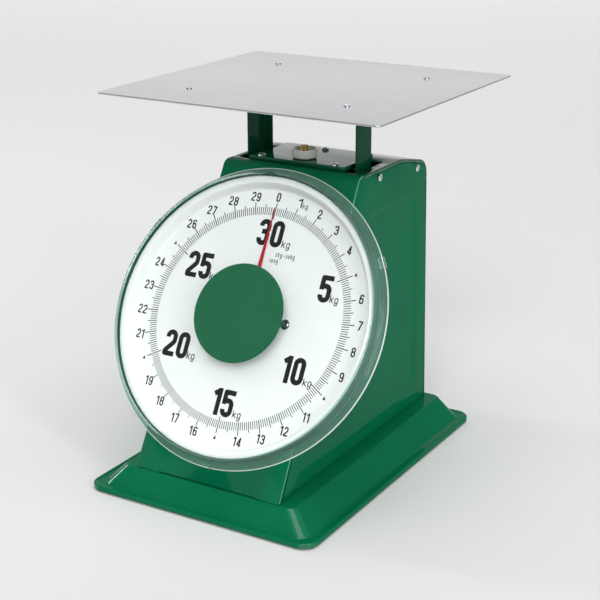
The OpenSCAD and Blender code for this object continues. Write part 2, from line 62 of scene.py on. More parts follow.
def insetCorners(corners, insets):
    # each edge (from a corner to the next one) moves inwards by its own inset, and the
    # new corners are where neighbouring edges meet
    corners = np.asarray(corners, float)
    insets = np.broadcast_to(np.asarray(insets, float), (len(corners),))
    along = np.roll(corners, -1, 0) - corners
    along /= np.linalg.norm(along, axis=1)[:, None]
    inward = np.stack([-along[:, 1], along[:, 0]], 1)
    level = (corners * inward).sum(1) + insets
    prevInward, prevLevel = np.roll(inward, 1, 0), np.roll(level, 1)
    det = prevInward[:, 0] * inward[:, 1] - prevInward[:, 1] * inward[:, 0]
    x = (prevLevel * inward[:, 1] - level * prevInward[:, 1]) / det
    y = (prevInward[:, 0] * level - inward[:, 0] * prevLevel) / det
    return np.stack([x, y], 1)


def roundedPath(corners, radii, steps=6, closed=True):
    # every corner becomes an arc that is tangent to both of its edges: from the first
    # tangent point the heading turns evenly through the corner's angle
    corners = np.asarray(corners, float)
    count = len(corners)
    radii = np.broadcast_to(np.asarray(radii, float), (count,))
    points = []
    for i in range(count):
        if not closed and i in (0, count - 1):
            points.append(corners[i][None])
            continue
        before = corners[i] - corners[i - 1]
        after = corners[(i + 1) % count] - corners[i]
        before, after = before / np.linalg.norm(before), after / np.linalg.norm(after)
        turn = np.arctan2(before[0] * after[1] - before[1] * after[0], before @ after)
        radius = max(radii[i], 1e-3)
        start = corners[i] - before * radius * abs(np.tan(turn / 2))
        side = np.array([-before[1], before[0]]) * np.sign(turn)
        angles = np.linspace(0, abs(turn), steps + 1)[:, None]
        points.append(start + side * radius * (1 - np.cos(angles)) + before * radius * np.sin(angles))
    return np.concatenate(points)


def roundedRectangle(halfX, halfY, radius, steps=8):
    # four quarter circles, joined by the straight sides between them
    angles = np.radians(np.linspace(0, 90, steps + 1)[None, :] + 90 * np.arange(4)[:, None])
    signX, signY = np.array([1, -1, -1, 1])[:, None], np.array([1, 1, -1, -1])[:, None]
    x = signX * (halfX - radius) + radius * np.cos(angles)
    y = signY * (halfY - radius) + radius * np.sin(angles)
    return np.stack([x.ravel(), y.ravel()], 1)


def atHeight(ring, z):
    # a flat ring of (x, y) points lifted to a height
    return np.column_stack([ring, np.full(len(ring), z)])


def smoothStep(low, high, value):
    t = np.clip((value - low) / (high - low), 0, 1)
    return t * t * (3 - 2 * t)


# ---- meshes ------------------------------------------------------------------

def meshPiece(name, points, faces, closed=True, outward=None, sharp=35):
    # a mesh object from points in millimetres; doubles are merged, a closed shell has its
    # faces turned outwards and an open sheet has them turned towards outward
    mesh = bpy.data.meshes.new(name)
    mesh.from_pydata((np.asarray(points) * mm).tolist(), [], faces)
    work = bmesh.new()
    work.from_mesh(mesh)
    bmesh.ops.remove_doubles(work, verts=work.verts, dist=1e-7)
    bmesh.ops.dissolve_degenerate(work, edges=work.edges, dist=1e-7)
    if closed:
        bmesh.ops.recalc_face_normals(work, faces=work.faces)
    else:
        total = sum((f.normal * f.calc_area() for f in work.faces), Vector())
        if total.dot(Vector(outward)) < 0:
            bmesh.ops.reverse_faces(work, faces=work.faces)
    work.to_mesh(mesh)
    work.free()
    mesh.shade_smooth()
    mesh.set_sharp_from_angle(angle=np.radians(sharp))
    piece = bpy.data.objects.new(name, mesh)
    bpy.context.scene.collection.objects.link(piece)
    return piece


def gridFaces(rows, columns, wrapRows=False, wrapColumns=False, keep=None, start=0):
    # one quad for each cell of a grid of points
    index = np.arange(rows * columns).reshape(rows, columns) + start
    if wrapRows:
        index = np.concatenate([index, index[:1]], 0)
    if wrapColumns:
        index = np.concatenate([index, index[:, :1]], 1)
    quads = np.stack([index[:-1, :-1], index[:-1, 1:], index[1:, 1:], index[1:, :-1]], -1)
    if keep is not None:
        return quads[keep].tolist()
    return quads.reshape(-1, 4).tolist()


def endCaps(rows, columns, caps="first last"):
    # one face over the first row of a grid, or its last row, or both
    faces = []
    if "first" in caps:
        faces.append(list(range(columns)))
    if "last" in caps:
        faces.append(list(range((rows - 1) * columns, rows * columns)))
    return faces


def gridPiece(name, grid, wrapRows=False, wrapColumns=False, caps="", keep=None, **options):
    # grid has a row of points for each step along a path; caps closes its first or last row
    rows, columns = grid.shape[:2]
    faces = gridFaces(rows, columns, wrapRows, wrapColumns, keep) + endCaps(rows, columns, caps)
    return meshPiece(name, grid.reshape(-1, 3), faces, **options)


def turnedGrid(profile, segments):
    # a profile of (radius, height) turned about an axis: x = r cos a, y = r sin a
    angles = np.linspace(0, 2 * np.pi, segments, endpoint=False)
    radius, height = profile[:, 0][:, None], profile[:, 1][:, None]
    return np.stack([radius * np.cos(angles), radius * np.sin(angles), height + 0 * angles], -1)


def thicken(piece, thickness):
    # sheet metal: the wall grows inwards from the outer face
    wall = piece.modifiers.new("Wall", "SOLIDIFY")
    wall.thickness, wall.offset = thickness * mm, -1
    wall.use_even_offset = True
    return piece


def joinParts(parts):
    # (points, faces) of several solids as one list of points and one of faces
    points, faces, start = [], [], 0
    for partPoints, partFaces in parts:
        points.append(np.asarray(partPoints).reshape(-1, 3))
        faces += [[i + start for i in face] for face in partFaces]
        start += len(points[-1])
    return np.concatenate(points), faces


def finishPiece(piece, body, slotName, material, *replaced):
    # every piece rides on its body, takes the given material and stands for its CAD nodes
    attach(piece, body)
    if replaced:
        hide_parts(*replaced)
    piece.data.materials.clear()
    piece.data.materials.append(material)
    return piece


def paintWhere(piece, material, chosen):
    # a further material on the chosen faces of a finished piece
    index = len(piece.data.materials)
    piece.data.materials.append(material)
    for polygon, take in zip(piece.data.polygons, chosen):
        if take:
            polygon.material_index = index


# ---- shader maths ------------------------------------------------------------

class Shade:
    # wraps a socket, so that sums on sockets add Math nodes
    def __init__(self, tree, socket):
        self.tree, self.socket = tree, socket

    def math(self, operation, first, second):
        node = self.tree.nodes.new("ShaderNodeMath")
        node.operation = operation
        for slot, value in zip(node.inputs, (first, second)):
            if isinstance(value, Shade):
                self.tree.links.new(value.socket, slot)
            else:
                slot.default_value = value
        return Shade(self.tree, node.outputs[0])

    def __add__(self, other): return self.math("ADD", self, other)
    def __radd__(self, other): return self.math("ADD", other, self)
    def __sub__(self, other): return self.math("SUBTRACT", self, other)
    def __rsub__(self, other): return self.math("SUBTRACT", other, self)
    def __mul__(self, other): return self.math("MULTIPLY", self, other)
    def __rmul__(self, other): return self.math("MULTIPLY", other, self)


class Finish:
    # one material: a Principled shader and a method that adds any other node
    def __init__(self, name, **constants):
        self.material = bpy.data.materials.new(name)
        self.material.use_nodes = True
        self.tree = self.material.node_tree
        self.tree.nodes.clear()
        self.output = self.tree.nodes.new("ShaderNodeOutputMaterial")
        self.shader = self.tree.nodes.new("ShaderNodeBsdfPrincipled")
        self.tree.links.new(self.shader.outputs[0], self.output.inputs["Surface"])
        for socket, value in constants.items():
            self.shader.inputs[socket.replace("_", " ")].default_value = value

    def node(self, kind, settings=None, sockets=None, out=0):
        made = self.tree.nodes.new("ShaderNode" + kind)
        for key, value in (settings or {}).items():
            setattr(made, key, value)
        for key, value in (sockets or {}).items():
            if isinstance(value, Shade):
                self.tree.links.new(value.socket, made.inputs[key])
            else:
                made.inputs[key].default_value = value
        return Shade(self.tree, made.outputs[out])

    def feed(self, **links):
        for socket, value in links.items():
            self.tree.links.new(value.socket, self.shader.inputs[socket.replace("_", " ")])

    def place(self, scale=(1, 1, 1)):
        # Object coordinates, stretched
        coordinates = self.node("TexCoord", out=3)
        return self.node("Mapping", sockets={"Vector": coordinates, "Scale": scale})

    def noise(self, scale, detail=4, roughness=0.5, vector=None):
        return self.node("TexNoise", sockets={
            "Vector": vector or self.place(), "Scale": scale, "Detail": detail, "Roughness": roughness
        })

    def spread(self, mask, low, high):
        # takes the middle of a noise to the range from low to high
        return self.node("MapRange", sockets={0: mask, 1: 0.35, 2: 0.65, 3: low, 4: high})

    def blend(self, mask, first, second):
        return self.node("Mix", {"data_type": "RGBA"}, {
            0: mask, 6: (*first, 1), 7: (*second, 1)
        }, out=2)

    def bump(self, height, distance, strength=1.0):
        normal = self.node("Bump", sockets={"Height": height, "Distance": distance, "Strength": strength})
        self.feed(Normal=normal)


def enamelFinish(name, colour, deep, roughness, coat):
    # stove enamel: flowed-out paint with a faint orange peel and slow changes of tone
    finish = Finish(name, Coat_Weight=coat, Coat_Roughness=0.03, Coat_IOR=1.5, Specular_IOR_Level=0.0)
    tone = finish.noise(9, 3)
    haze = finish.noise(60, 5, 0.6)
    peel = finish.noise(420, 2, 0.4)
    finish.feed(
        Base_Color=finish.blend(finish.spread(tone, 0, 1), colour, deep),
        Roughness=finish.spread(haze, roughness * 0.8, roughness * 1.3),
    )
    finish.bump(peel, 0.00002, 0.35)
    return finish.material


def brushedFinish(name, colour, stretch, low, high):
    # steel rubbed in one direction: long fine scratches in the roughness and the surface
    finish = Finish(name, Metallic=1.0)
    grain = finish.noise(1.0, 6, 0.65, finish.place(stretch))
    cloud = finish.noise(6, 3)
    finish.feed(
        Base_Color=finish.blend(finish.spread(grain, 0, 1), colour, [0.9 * c for c in colour]),
        Roughness=finish.spread(grain, low, high) + 0.08 * (cloud - 0.5),
    )
    finish.bump(grain, 0.000004, 0.3)
    return finish.material


def metalFinish(name, colour, dull, roughness):
    # plated or machined metal with fine pits and a little tarnish
    finish = Finish(name, Metallic=1.0)
    pits = finish.noise(180, 5, 0.6)
    stain = finish.noise(20, 3)
    finish.feed(
        Base_Color=finish.blend(finish.spread(stain, 0, 1), colour, dull),
        Roughness=finish.spread(pits, roughness * 0.7, roughness * 1.5),
    )
    finish.bump(pits, 0.00001, 0.3)
    return finish.material


def plasticFinish(name, colour, deep, roughness, bumpDepth=0.00001, scale=300, coat=0.0):
    finish = Finish(name, Coat_Weight=coat, IOR=1.46)
    tone = finish.noise(14, 3)
    grain = finish.noise(scale, 3, 0.5)
    finish.feed(
        Base_Color=finish.blend(finish.spread(tone, 0, 1), colour, deep),
        Roughness=finish.spread(grain, roughness * 0.85, roughness * 1.2),
    )
    finish.bump(grain, bumpDepth, 0.3)
    return finish.material


def crystalFinish(name, colour, deep, through=1.0, low=0.01, high=0.03, specular=0.35):
    # clear moulded plastic; lamps shine straight through it, so that the dial stays bright
    finish = Finish(name, Transmission_Weight=through, IOR=1.46, Specular_IOR_Level=specular)
    flow = finish.noise(22, 2)
    finish.feed(
        Base_Color=finish.blend(flow, colour, deep),
        Roughness=finish.spread(flow, low, high),
    )
    lamp = finish.node("LightPath", out=1)
    clear = finish.node("BsdfTransparent", sockets={"Color": (0.96, 0.98, 0.975, 1)})
    mix = finish.node("MixShader", sockets={
        0: lamp, 1: Shade(finish.tree, finish.shader.outputs[0]), 2: clear
    })
    finish.tree.links.new(mix.socket, finish.output.inputs["Surface"])
    return finish.material


greenEnamel = enamelFinish("green_enamel", (0.003, 0.170, 0.074), (0.002, 0.155, 0.067), 0.3, 0.22)
topEnamel = enamelFinish("top_enamel", (0.003, 0.110, 0.050), (0.002, 0.100, 0.045), 0.2, 0.85)
stainless = brushedFinish("stainless_plate", (0.66, 0.67, 0.69), (40, 1200, 1200), 0.30, 0.37)
innerSteel = enamelFinish("inner_steel", (0.05, 0.052, 0.056), (0.035, 0.036, 0.04), 0.45, 0.1)
brightSteel = metalFinish("bright_steel", (0.78, 0.79, 0.80), (0.66, 0.67, 0.69), 0.14)
springSteel = metalFinish("spring_steel", (0.16, 0.17, 0.19), (0.10, 0.10, 0.12), 0.35)
brass = metalFinish("brass", (0.78, 0.52, 0.20), (0.62, 0.40, 0.15), 0.2)
rubber = plasticFinish("rubber", (0.012, 0.012, 0.012), (0.02, 0.02, 0.02), 0.75, 0.00004)
dialWhite = enamelFinish("dial_white", (0.76, 0.762, 0.765), (0.745, 0.747, 0.75), 0.5, 0.1)
discGreen = enamelFinish("disc_green", (0.006, 0.105, 0.045), (0.005, 0.100, 0.042), 0.5, 0.0)
pointerRed = enamelFinish("pointer_red", (0.38, 0.008, 0.010), (0.34, 0.006, 0.008), 0.5, 0.0)
knobCream = plasticFinish("knob_cream", (0.76, 0.74, 0.67), (0.71, 0.69, 0.62), 0.3, 0.00002, 120, 0.3)
nylon = plasticFinish("nylon", (0.80, 0.79, 0.74), (0.74, 0.73, 0.68), 0.5)
printBlack = enamelFinish("dial_ink", (0.006, 0.006, 0.007), (0.010, 0.010, 0.012), 0.6, 0.0)
crystal = crystalFinish("clear_crystal", (0.97, 0.99, 0.985), (0.94, 0.98, 0.97), specular=0.1)
# a teal haze on the clear wall: a painted view of the green case seen through it
crystalWallPaintedView = crystalFinish("crystal_wall_painted_view", (0.42, 0.66, 0.58), (0.36, 0.60, 0.52), 0.86, 0.03, 0.08)
# a milky white lip: a painted highlight for the bright line along the crystal's edge
crystalLipHighlight = crystalFinish("crystal_lip_painted_highlight", (0.95, 0.97, 0.96), (0.90, 0.93, 0.92), 0.2, 0.25, 0.35)
# a much darker copy of the green enamel: painted shade for the shadow under the weighing plate
uprightShadeEnamel = enamelFinish("upright_painted_shade", (0.004, 0.075, 0.036), (0.003, 0.065, 0.030), 0.25, 0.2)
housingEnamel = enamelFinish("housing_enamel", (0.003, 0.070, 0.034), (0.002, 0.060, 0.030), 0.3, 0.2)
# a glossier, slightly paler copy of the green enamel: the paler colour is a painted highlight
cornerHighlightEnamel = enamelFinish("corner_gloss_painted_highlight", (0.004, 0.185, 0.082), (0.003, 0.170, 0.074), 0.12, 1.0)
# a pale green copy of the case enamel: a painted highlight for the folded edges
foldHighlightEnamel = enamelFinish("fold_painted_highlight", (0.16, 0.46, 0.34), (0.12, 0.40, 0.28), 0.2, 1.0)
slotMaterials = {
    "green_enamel": greenEnamel, "inner_steel": innerSteel, "stainless_plate": stainless,
    "bright_steel": brightSteel, "spring_steel": springSteel, "brass": brass, "rubber": rubber,
    "dial_white": dialWhite, "disc_green": discGreen, "clear_crystal": crystal,
    "pointer_red": pointerRed, "knob_cream": knobCream, "nylon": nylon,
}
for subpart in frame["record"]["subparts"]:
    node = nodes[subpart["node"]]
    node.data.materials.clear()
    node.data.materials.append(slotMaterials[subpart["material_slot"]])
print("materials ready:", len(slotMaterials) + 1)

# ---- base pan ----------------------------------------------------------------

panValues = {
    "rimRadius": 18, "footRadius": 16, "topRadius": 11,   # corner radii seen from above
    "bead": 3.4, "beadTop": 1.2,      # width of the rolled rim, and its height above the flange
    "flange": 12, "flangeSide": 10,   # skirt's foot from the rim, at the sides and the ends
    "slope": 24, "slopeSide": 12,     # how far the skirt leans in
    "shift": 2.5, "sheet": 1.3,
    "rimHeight": 6, "topLedge": 9,    # top of the rim from the pan's edge, and the flat top's border
}


def makeBasePan():
    # a section of (distance from the rim, height) is carried round rounded rectangles
    # whose half sizes shrink by that distance
    v = panValues
    low, high = nodeBox("base_pan")
    middle = (low + high) / 2
    halfX, halfY = (high - low)[:2] / 2
    flangeZ = low[2] + v["rimHeight"] - v["beadTop"]
    section = roundedPath(
        [(0.8, low[2]), (0, low[2] + 0.6), (0, flangeZ + v["beadTop"]), (v["bead"], flangeZ + v["beadTop"]),
         (v["bead"] + 0.6, flangeZ), (v["flange"], flangeZ), (v["flange"] + v["slope"], high[2]),
         (v["flange"] + v["slope"] + v["topLedge"], high[2])],
        [0, 0.4, 1.5, 1.2, 0.8, 4, 5, 0], steps=6, closed=False,
    )
    inset, height = section.T
    climb = np.clip((inset - v["flange"]) / v["slope"], 0, None)
    insetY = np.minimum(inset, v["flange"]) * v["flangeSide"] / v["flange"] + climb * v["slopeSide"]
    radius = np.interp(inset, [0, v["flange"], v["flange"] + v["slope"]],
                       [v["rimRadius"], v["footRadius"], v["topRadius"]])
    rings = [roundedRectangle(halfX - a, halfY - b, r) for a, b, r in zip(inset, insetY, radius)]
    grid = np.zeros((len(section), len(rings[0]), 3))
    grid[..., :2] = np.array(rings)
    grid[..., 2] = height[:, None]
    grid[..., 0] += middle[0]
    grid[..., 1] += middle[1] + (np.minimum(climb, 1) * v["shift"])[:, None]
    pan = gridPiece("base_pan_shell", grid, wrapColumns=True, caps="last", closed=False, outward=(0, 0, 1))
    finishPiece(thicken(pan, v["sheet"]), "base", "green_enamel", greenEnamel, "base_pan")
    # the skirt's rounded corners get a glossier coat, which catches the lamps, and a slightly paler green, which
    # is a painted highlight
    normals = np.abs([polygon.normal for polygon in pan.data.polygons])
    paintWhere(pan, cornerHighlightEnamel, (normals[:, 0] > 0.2) & (normals[:, 1] > 0.2))


makeBasePan()
print("base pan done")

# ---- case --------------------------------------------------------------------

caseValues = {
    "sheet": 1.2, "topHalf": 92.0,       # half of the case's width at its top
    "fold": 4.0, "foldRadius": 1.3,      # the edges folded round onto the sides
    "seamGap": 0.4,
    "topBend": 12, "backBend": 20, "ridgeBend": 60,
    "ridgeY": 105, "backDrop": 14.3,     # where the top starts to slope down, and by how much
    "slotX": (59, 80), "slotY": (15, 79),
    "rodHole": 10, "shaftHole": 15,
    "slitHalf": 66, "slitHeight": 1.4,   # the gap under the front sheet
    "slitFoot": 21,                      # width of the foot at each end of that gap
    "frontGap": 0.7, "backGap": 0.3,     # from the base to the front and the back sheet
}
panTop = nodeBox("base_pan")[1][2]
frontHigh = nodeBox("case_front")[1]
backHigh = nodeBox("case_back")[1]
caseTopZ = nodeBox("case_top")[1][2]
caseHalfLow = frontHigh[0]
dialJoint = next(j for j in frame["joints"] if j["name"] == "pointer_turn")
dialOut = -np.array(dialJoint["axis"], float)          # out of the dial, towards the reader
dialUp = np.array([0, dialOut[2], -dialOut[1]])        # up the slope
dialCentre = np.array(dialJoint["pos_m"], float) / mm  # on the case's sloping front
slopeRise = dialUp[2] / dialUp[1]
frontFootY = dialCentre[1] - (dialCentre[2] - panTop) / slopeRise
caseTaper = (caseHalfLow - caseValues["topHalf"]) / (caseTopZ - panTop)


def halfWidth(z):
    # the sides lean in evenly from the base to the top
    return caseHalfLow - caseTaper * (z - panTop)


caseCorners = np.array([
    (backHigh[1], panTop), (backHigh[1], caseTopZ - caseValues["backDrop"]),
    (caseValues["ridgeY"], caseTopZ), (frontFootY + (caseTopZ - panTop) / slopeRise, caseTopZ),
    (frontFootY, panTop),
])
caseRadii = np.array([0, caseValues["backBend"], caseValues["ridgeBend"], caseValues["topBend"], 0])


def cutPath(path, inward, low, high):
    # the stretch of a path between two lengths along it, with the ends put in exactly
    length = np.concatenate([[0], np.cumsum(np.linalg.norm(np.diff(path, axis=0), axis=1))])
    at = np.concatenate([[low], length[(length > low + 1e-6) & (length < high - 1e-6)], [high]])
    cut, inside = [
        np.stack([np.interp(at, length, values[:, i]) for i in (0, 1)], 1) for values in (path, inward)
    ]
    return cut, inside / np.linalg.norm(inside, axis=1)[:, None]


def addStops(path, inward, axis, stops):
    # extra points where a coordinate of the path has given values
    for stop in stops:
        values = path[:, axis]
        crossing = np.where((values[:-1] - stop) * (values[1:] - stop) < 0)[0]
        for i in crossing[::-1]:
            t = (stop - values[i]) / (values[i + 1] - values[i])
            path = np.insert(path, i + 1, path[i] + t * (path[i + 1] - path[i]), 0)
            inward = np.insert(inward, i + 1, inward[i] + t * (inward[i + 1] - inward[i]), 0)
    return path, inward


def foldedSheet(path, inward, stopsX=()):
    # across the path runs a section: the fold on the left side, a small bend, the face,
    # a small bend and the fold on the right side
    v = caseValues
    bend = np.radians(np.linspace(0, 90, 5))
    offset = np.concatenate([[0], v["foldRadius"] * (1 - np.cos(bend))])
    inset = np.concatenate([[v["fold"]], v["foldRadius"] * (1 - np.sin(bend))])
    half = halfWidth(path[:, 1])[:, None] - offset
    stops = np.tile(np.array(sorted(stopsX), float), (len(path), 1))
    x = np.concatenate([-half, stops, half[:, ::-1]], 1)
    depth = np.concatenate([inset, np.zeros(len(stopsX)), inset[::-1]])
    grid = np.zeros((*x.shape, 3))
    grid[..., 0] = x
    grid[..., 1:] = path[:, None] + inward[:, None] * depth[:, None]
    return grid


def cellsOutside(grid, *boxes):
    # True for each cell whose middle is outside every (x0, x1, axis, low, high) window
    middle = (grid[:-1, :-1] + grid[1:, 1:]) / 2
    keep = np.ones(middle.shape[:2], bool)
    for x0, x1, axis, low, high in boxes:
        keep &= ~((middle[..., 0] > x0) & (middle[..., 0] < x1)
                  & (middle[..., axis] > low) & (middle[..., axis] < high))
    return keep


def makeCaseSheets():
    v = caseValues
    corners = caseCorners[::-1]
    path = roundedPath(corners, caseRadii[::-1], steps=10, closed=False)
    # a point's heading is the line between its neighbours, so at the end of a bend the long
    # straight stretch decides
    step = np.gradient(path, axis=0)
    step /= np.linalg.norm(step, axis=1)[:, None]
    inward = np.stack([step[:, 1], -step[:, 0]], 1)
    length = np.concatenate([[0], np.cumsum(np.linalg.norm(np.diff(path, axis=0), axis=1))])
    seamTop = np.interp(frontHigh[1], path[:, 0][:len(path) // 2], length[:len(path) // 2])
    seamBack = length[-1] - (backHigh[2] - panTop)

    front, frontIn = cutPath(path, inward, v["frontGap"], seamTop)
    holeLow = dialCentre[2] - v["shaftHole"] * dialUp[2]
    holeHigh = dialCentre[2] + v["shaftHole"] * dialUp[2]
    slitTop = front[0, 1] + v["slitHeight"]
    front, frontIn = addStops(front, frontIn, 1, (slitTop, holeLow, holeHigh))
    grid = foldedSheet(front, frontIn, (-v["slitHalf"], -v["shaftHole"], v["shaftHole"], v["slitHalf"]))
    slit, foot = v["slitHalf"], v["slitHalf"] + v["slitFoot"]
    keep = cellsOutside(
        grid, (-v["shaftHole"], v["shaftHole"], 2, holeLow, holeHigh), (-slit, slit, 2, 0, slitTop),
        (-caseHalfLow, -foot, 2, 0, slitTop), (foot, caseHalfLow, 2, 0, slitTop),
    )
    piece = gridPiece("case_front_sheet", grid, keep=keep, closed=False, outward=(0, -1, 0.5))
    finishPiece(thicken(piece, v["sheet"]), "base", "green_enamel", greenEnamel, "case_front")
    # a much paler green is painted on the bends towards the sides: a painted highlight along the folds
    sideways = np.array([abs(polygon.normal[0]) for polygon in piece.data.polygons])
    paintWhere(piece, foldHighlightEnamel, (sideways > 0.2) & (sideways < 0.97))

    top, topIn = cutPath(path, inward, seamTop + v["seamGap"], seamBack - v["seamGap"] / 2)
    hang = nodeBox("zero_rod")
    hangY = (hang[0][1] + hang[1][1]) / 2
    holeY = (hangY - v["rodHole"], hangY + v["rodHole"])
    top, topIn = addStops(top, topIn, 0, (*v["slotY"], *holeY))
    slotIn, slotOut = v["slotX"]
    grid = foldedSheet(top, topIn, (-slotOut, -slotIn, -v["rodHole"], v["rodHole"], slotIn, slotOut))
    keep = cellsOutside(
        grid, (-slotOut, -slotIn, 1, *v["slotY"]), (slotIn, slotOut, 1, *v["slotY"]),
        (-v["rodHole"], v["rodHole"], 1, *holeY),
    )
    piece = gridPiece("case_top_sheet", grid, keep=keep, closed=False, outward=(0, 0, 1))
    finishPiece(thicken(piece, v["sheet"]), "base", "green_enamel", topEnamel, "case_top")

    back, backIn = cutPath(path, inward, seamBack + v["seamGap"] / 2, length[-1] - v["backGap"])
    grid = foldedSheet(back, backIn)
    piece = gridPiece("case_back_sheet", grid, closed=False, outward=(0, 1, 0))
    finishPiece(thicken(piece, v["sheet"]), "base", "green_enamel", greenEnamel, "case_back")


makeCaseSheets()
print("case sheets done")

coverValues = {
    "gap": 4.5, "footGap": 0.3,          # from the case's edge to the cover's edge, and at its foot
    "bevelWidth": 14, "bevelDepth": 3.4,  # the slope along the cover's front edge
    "panelInset": (26, 46, 46, 46, 27),  # pressed panel: from the back, ridge, top, front and foot
    "panelRadius": 22, "panelSlope": 10, "panelDepth": 2.2,
    "sheet": 1.1,
}


def makeSideCover(side, name, node):
    # rings between the cover's edge and the middle of its pressed panel; a point's height
    # comes from its ring and from its distance to the sloping front edge
    v = coverValues
    edgeInset = np.array([v["gap"]] * 4 + [v["footGap"]])
    panelInset = np.array(v["panelInset"])
    radii = np.maximum(caseRadii - v["gap"], 1.0)
    panelRadii = np.full(5, v["panelRadius"])
    rings, heights = [], []
    for t in (0, 0.02, 0.12, 0.24, 0.36, 0.5, 0.75, 1.0):
        inset = edgeInset + (panelInset - edgeInset) * t
        rings.append(roundedPath(insetCorners(caseCorners, inset), radii + (panelRadii - radii) * t, steps=8))
        heights.append(0)
    for t in np.linspace(0.14, 1, 7):
        inset = panelInset + v["panelSlope"] * t
        rings.append(roundedPath(insetCorners(caseCorners, inset), panelRadii * (1 - 0.35 * t), steps=8))
        heights.append(-v["panelDepth"] * smoothStep(0, 1, t))
    rings = np.array(rings)
    frontDistance = ((rings - caseCorners[4]) * [dialUp[2], -dialUp[1]]).sum(-1)
    bevel = np.clip((frontDistance - v["gap"]) / v["bevelWidth"], 0, 1) - 1
    height = np.array(heights)[:, None] + v["bevelDepth"] * bevel
    grid = np.zeros((*rings.shape[:2], 3))
    grid[..., 0] = side * (halfWidth(rings[..., 1]) + height)
    grid[..., 1:] = rings
    piece = gridPiece(name, grid, wrapColumns=True, caps="last", closed=False, outward=(side, 0, 0), sharp=50)
    finishPiece(thicken(piece, v["sheet"]), "base", "green_enamel", greenEnamel, node)


makeSideCover(-1, "side_cover_left_panel", "side_cover_left")
makeSideCover(1, "side_cover_right_panel", "side_cover_right")
print("side covers done")

# ---- screws ------------------------------------------------------------------

def screwGrid(radius, height, turn=0.0):
    # a domed head: height falls towards the edge as a flattened circle, and a crossed
    # recess with sloping walls is pressed into its middle
    distance = np.concatenate([np.linspace(0, 0.93, 22), [1.0, 1.0, 0.96]])
    angle = np.linspace(0, 2 * np.pi, 72, endpoint=False)
    r, a = np.meshgrid(distance, angle, indexing="ij")
    x, y = r * np.cos(a), r * np.sin(a)
    dome = height * (0.45 + 0.55 * np.sqrt(np.clip(1 - (r / 1.02) ** 2, 0, 1)))
    arm = np.minimum(np.maximum(abs(x) / 0.58, abs(y) / 0.13), np.maximum(abs(y) / 0.58, abs(x) / 0.13))
    z = dome - 0.62 * height * smoothStep(1.15, 0.75, arm)
    z[-2], z[-1] = height * 0.1, 0
    c, s = np.cos(turn), np.sin(turn)
    return np.stack([(c * x - s * y) * radius, (s * x + c * y) * radius, z], -1)


def screwParts(places, radius, height, washer=0.0):
    # one head at each place; a place is (origin, right, up, out) with its own turn
    parts = []
    for i, (origin, right, up, out) in enumerate(places):
        basis = np.array([right, up, out], float)
        grid = screwGrid(radius, height, 0.35 + 0.9 * i)
        grid[..., 2] += washer
        faces = gridFaces(*grid.shape[:2], wrapColumns=True) + endCaps(*grid.shape[:2], "last")
        parts.append((grid @ basis + origin, faces))
        if washer:
            edge, bulge = radius * 1.42, radius * 1.5
            section = np.array([(0, 0), (edge, 0), (bulge, washer * 0.5), (edge, washer), (0, washer)])
            disc = turnedGrid(section, 48)
            parts.append((disc @ basis + origin, gridFaces(len(section), 48, wrapColumns=True)))
    return joinParts(parts)


def screwPiece(node, body, places, radius, height, washer=0.0):
    piece = meshPiece(node[:-1] + "_heads", *screwParts(places, radius, height, washer), sharp=30)
    finishPiece(piece, body, "bright_steel", brightSteel, node)


axisX, axisY, axisZ = np.eye(3)
upward = (axisX, axisY, axisZ)
plateLow, plateHigh = nodeBox("platform_plate")
screwValues = {
    "coverRadius": 4.6, "coverHeight": 2.6,
    "bridgeRadius": 4.6, "bridgeHeight": 3.0,
    "platformRadius": 4, "platformHeight": 1.6,
    "dialRadius": 4.0, "dialHeight": 1.1, "dialWasher": 0.4, "standoffRadius": 4,
}


def makeScrews():
    # a head's middle is its radius in from the corner of the node's box
    v = screwValues
    r = v["coverRadius"]
    low, high = nodeBox("side_cover_screws")
    corners = ((low[1] + r, high[2] - r), (high[1] - r, low[2] + r))
    places = [((side * halfWidth(z), y, z), side * axisY, axisZ, side * axisX)
              for side in (-1, 1) for y, z in corners]
    screwPiece("side_cover_screws", "base", places, r, v["coverHeight"])

    r = v["bridgeRadius"]
    low, high = nodeBox("bridge_screws")
    spots = ((low[0] + r, low[1] + r), (high[0] - r, low[1] + r), (0, high[1] - r))
    places = [((x, y, low[2]), *upward) for x, y in spots]
    screwPiece("bridge_screws", "base", places, r, v["bridgeHeight"])

    r = v["platformRadius"]
    low, high = nodeBox("platform_screws")
    places = [((x, y, low[2]), *upward) for x in (low[0] + r, high[0] - r) for y in (low[1] + r, high[1] - r)]
    screwPiece("platform_screws", "platform", places, r, v["platformHeight"])


makeScrews()
print("screws done")

# ---- bridge plate, knob and zero rod -----------------------------------------

bridgeValues = {
    "backHalf": 60, "stepY": 46, "corner": 3, "edge": 1.2, "sheet": 1.5, "lip": 5.0,
}


